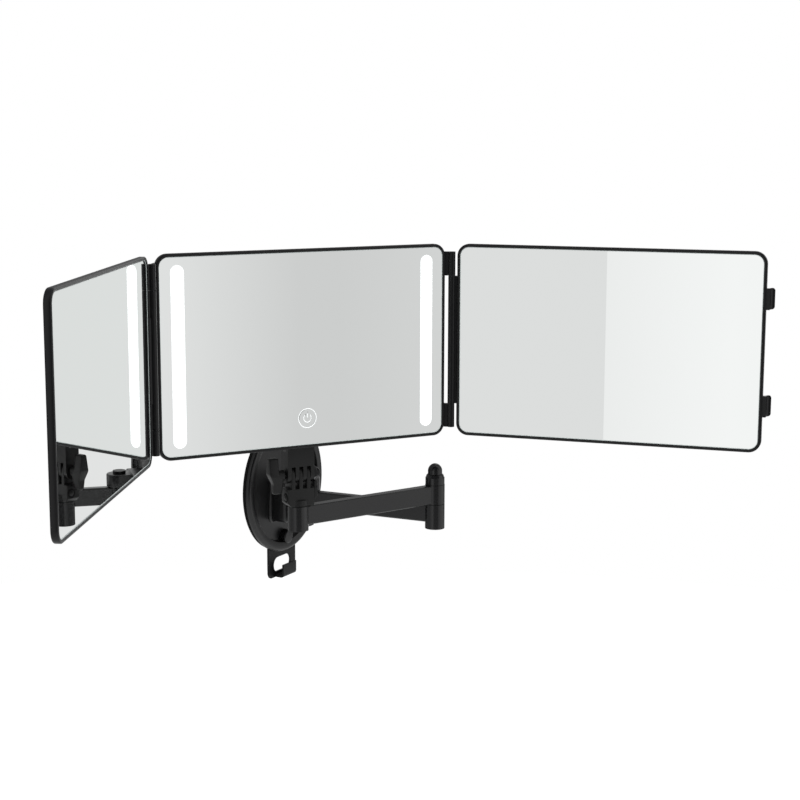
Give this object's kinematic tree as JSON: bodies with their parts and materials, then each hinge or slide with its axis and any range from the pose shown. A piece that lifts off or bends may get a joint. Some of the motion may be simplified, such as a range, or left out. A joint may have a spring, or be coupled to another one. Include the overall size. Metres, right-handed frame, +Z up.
{
  "type": "trifold vanity mirror",
  "caption": "Wall-mounted trifold vanity mirror: lit centre panel with touch key, two hinged wings, tilt joint and folding arm on a round base with a hook",
  "frame": {"origin": "centre of the base disc on the plane of the wall, which is the back face of the wall plate", "axes": "+Y points into the wall, -Y out into the room, +Z up; the arm and the mirror stand out towards -Y"},
  "size_m": [0.5375, 0.438, 0.313],
  "materials": {
    "plastic_black": "satin",
    "plastic_dark": "satin",
    "aluminium_black": "matte powder coat",
    "steel_black": "black oxide",
    "steel_bright": "zinc plated",
    "rubber_black": "matte",
    "nylon_dark": "matte",
    "foam_dark": "matte",
    "mirror_glass": "polished",
    "frosted_white": "frosted",
    "print_white": "satin",
    "board_white": "matte",
    "board_green": "matte",
    "cell_wrap": "satin"
  },
  "bodies": {
    "base": {"wall_plate": "steel_black", "rubber_pad": "rubber_black", "base_casting": "plastic_black", "screw_caps": "plastic_dark", "base_bolt": "steel_black", "base_nut": "steel_black"},
    "rear_link": {"rear_arm": "aluminium_black", "elbow_washer": "nylon_dark", "elbow_bolt": "steel_black"},
    "front_link": {"front_arm": "aluminium_black", "elbow_collar": "plastic_dark", "front_washer": "nylon_dark"},
    "elbow_clamp": {"elbow_knob": "plastic_dark"},
    "swivel": {"swivel_block": "plastic_dark", "swivel_bolt": "steel_black"},
    "tilt_clamp": {"tilt_bolt": "steel_bright", "wing_knob": "plastic_dark"},
    "mirror": {"finger_bracket": "plastic_black", "tilt_nut": "steel_black", "bracket_screws": "steel_black", "power_housing": "plastic_black", "housing_screws": "steel_black", "battery": "cell_wrap", "control_board": "board_green", "charge_port": "steel_bright", "centre_shell": "plastic_black", "centre_backing": "foam_dark", "centre_glass": "mirror_glass", "light_strips": "frosted_white", "light_boards": "board_white", "touch_key": "print_white", "touch_board": "board_green", "right_end_knuckles": "plastic_black", "right_hinge_pin": "steel_bright", "left_end_knuckles": "plastic_black", "left_hinge_pin": "steel_bright"},
    "right_wing": {"right_wing_knuckle": "plastic_black", "right_shell": "plastic_black", "right_backing": "foam_dark", "right_glass": "mirror_glass", "latch_clips": "plastic_black"},
    "left_wing": {"left_wing_knuckle": "plastic_black", "left_shell": "plastic_black", "left_backing": "foam_dark", "left_glass": "mirror_glass"}
  },
  "joints": [
    {"name": "base_pivot", "type": "hinge", "parent": "base", "child": "rear_link", "pos_m": [0, -0.029, -0.011], "axis": [0, 0, 1], "range_deg": [-20, 75]},
    {"name": "elbow", "type": "hinge", "parent": "rear_link", "child": "front_link", "pos_m": [0.00872, -0.1537, 0], "axis": [0, 0, 1], "range_deg": [-10, 120]},
    {"name": "elbow_knob_turn", "type": "hinge", "parent": "rear_link", "child": "elbow_clamp", "pos_m": [0.00872, -0.1537, 0.027], "axis": [0, 0, 1], "continuous": true},
    {"name": "head_swivel", "type": "hinge", "parent": "front_link", "child": "swivel", "pos_m": [-0.11816, -0.09453, 0.014], "axis": [0, 0, 1], "continuous": true},
    {"name": "tilt", "type": "hinge", "parent": "swivel", "child": "mirror", "pos_m": [-0.11816, -0.09453, 0.0405], "axis": [0.8387, -0.5446, 0], "range_deg": [-35, 20]},
    {"name": "tilt_knob_turn", "type": "hinge", "parent": "swivel", "child": "tilt_clamp", "pos_m": [-0.11816, -0.09453, 0.0405], "axis": [0.8387, -0.5446, 0], "continuous": true},
    {"name": "right_wing_hinge", "type": "hinge", "parent": "mirror", "child": "right_wing", "pos_m": [-0.0209, -0.18381, 0.145], "axis": [0, 0, 1], "range_deg": [-134, 46]},
    {"name": "left_wing_hinge", "type": "hinge", "parent": "mirror", "child": "left_wing", "pos_m": [-0.24168, -0.04567, 0.145], "axis": [0, 0, 1], "range_deg": [-57, 123]}
  ]
}
